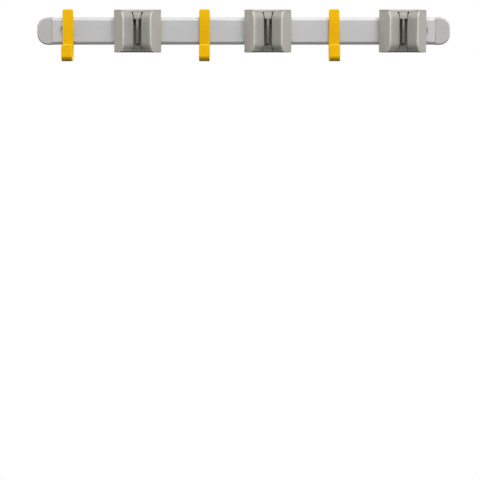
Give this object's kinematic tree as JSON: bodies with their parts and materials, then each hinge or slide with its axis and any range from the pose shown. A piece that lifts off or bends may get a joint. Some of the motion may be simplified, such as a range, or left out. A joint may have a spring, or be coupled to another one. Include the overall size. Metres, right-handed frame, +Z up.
{
  "type": "wall mop holder rack",
  "caption": "Wall rail with sliding mop holders whose paired jaws swing closed on a handle, and sliding hooks for smaller cleaning tools.",
  "frame": {"origin": "middle of the rail's back face, on the wall plane", "axes": "+X along the rail to the viewer's right, +Y into the wall, +Z up"},
  "size_m": [0.43, 0.035, 0.0539],
  "materials": {
    "rail_alloy": "satin anodised extrusion",
    "cap_plastic": "fine satin moulding",
    "holder_plastic": "fine satin moulding",
    "grip_rubber": "soft matte moulding",
    "stop_rubber": "soft matte moulding",
    "hook_plastic": "smooth semi-gloss moulding",
    "spring_steel": "plain bright steel"
  },
  "bodies": {
    "rail_assembly": {"rail": "rail_alloy", "end_cap_left": "cap_plastic", "end_cap_right": "cap_plastic"},
    "hook_1": {"hook_1": "hook_plastic"},
    "hook_2": {"hook_2": "hook_plastic"},
    "hook_3": {"hook_3": "hook_plastic"},
    "holder_1": {"holder_1_carrier": "holder_plastic", "holder_1_pivot_pins": "spring_steel", "holder_1_leaf_springs": "spring_steel", "holder_1_stop_bar": "stop_rubber"},
    "holder_1_jaw_left": {"holder_1_jaw_left": "holder_plastic", "holder_1_grip_left": "grip_rubber"},
    "holder_1_jaw_right": {"holder_1_jaw_right": "holder_plastic", "holder_1_grip_right": "grip_rubber"},
    "holder_2": {"holder_2_carrier": "holder_plastic", "holder_2_pivot_pins": "spring_steel", "holder_2_leaf_springs": "spring_steel", "holder_2_stop_bar": "stop_rubber"},
    "holder_2_jaw_left": {"holder_2_jaw_left": "holder_plastic", "holder_2_grip_left": "grip_rubber"},
    "holder_2_jaw_right": {"holder_2_jaw_right": "holder_plastic", "holder_2_grip_right": "grip_rubber"},
    "holder_3": {"holder_3_carrier": "holder_plastic", "holder_3_pivot_pins": "spring_steel", "holder_3_leaf_springs": "spring_steel", "holder_3_stop_bar": "stop_rubber"},
    "holder_3_jaw_left": {"holder_3_jaw_left": "holder_plastic", "holder_3_grip_left": "grip_rubber"},
    "holder_3_jaw_right": {"holder_3_jaw_right": "holder_plastic", "holder_3_grip_right": "grip_rubber"}
  },
  "joints": [
    {"name": "hook_1_slide", "type": "slide", "parent": "rail_assembly", "child": "hook_1", "axis": [1, 0, 0], "range_m": [-0.011, 0.0203]},
    {"name": "hook_2_slide", "type": "slide", "parent": "rail_assembly", "child": "hook_2", "axis": [1, 0, 0], "range_m": [-0.0188, 0.0169]},
    {"name": "hook_3_slide", "type": "slide", "parent": "rail_assembly", "child": "hook_3", "axis": [1, 0, 0], "range_m": [-0.0185, 0.0196]},
    {"name": "holder_1_slide", "type": "slide", "parent": "rail_assembly", "child": "holder_1", "axis": [1, 0, 0], "range_m": [-0.0203, 0.0188]},
    {"name": "holder_1_jaw_left_swing", "type": "hinge", "parent": "holder_1", "child": "holder_1_jaw_left", "pos_m": [-0.127, -0.02, 0], "axis": [0, 0, 1], "range_deg": [0, 25]},
    {"name": "holder_1_jaw_right_swing", "type": "hinge", "parent": "holder_1", "child": "holder_1_jaw_right", "pos_m": [-0.093, -0.02, 0], "axis": [0, 0, -1], "range_deg": [0, 25]},
    {"name": "holder_2_slide", "type": "slide", "parent": "rail_assembly", "child": "holder_2", "axis": [1, 0, 0], "range_m": [-0.0169, 0.0185]},
    {"name": "holder_2_jaw_left_swing", "type": "hinge", "parent": "holder_2", "child": "holder_2_jaw_left", "pos_m": [0.00802, -0.02, 0], "axis": [0, 0, 1], "range_deg": [0, 25]},
    {"name": "holder_2_jaw_right_swing", "type": "hinge", "parent": "holder_2", "child": "holder_2_jaw_right", "pos_m": [0.04202, -0.02, 0], "axis": [0, 0, -1], "range_deg": [0, 25]},
    {"name": "holder_3_slide", "type": "slide", "parent": "rail_assembly", "child": "holder_3", "axis": [1, 0, 0], "range_m": [-0.0196, 0.0099]},
    {"name": "holder_3_jaw_left_swing", "type": "hinge", "parent": "holder_3", "child": "holder_3_jaw_left", "pos_m": [0.14799, -0.02, 0], "axis": [0, 0, 1], "range_deg": [0, 25]},
    {"name": "holder_3_jaw_right_swing", "type": "hinge", "parent": "holder_3", "child": "holder_3_jaw_right", "pos_m": [0.18199, -0.02, 0], "axis": [0, 0, -1], "range_deg": [0, 25]}
  ]
}
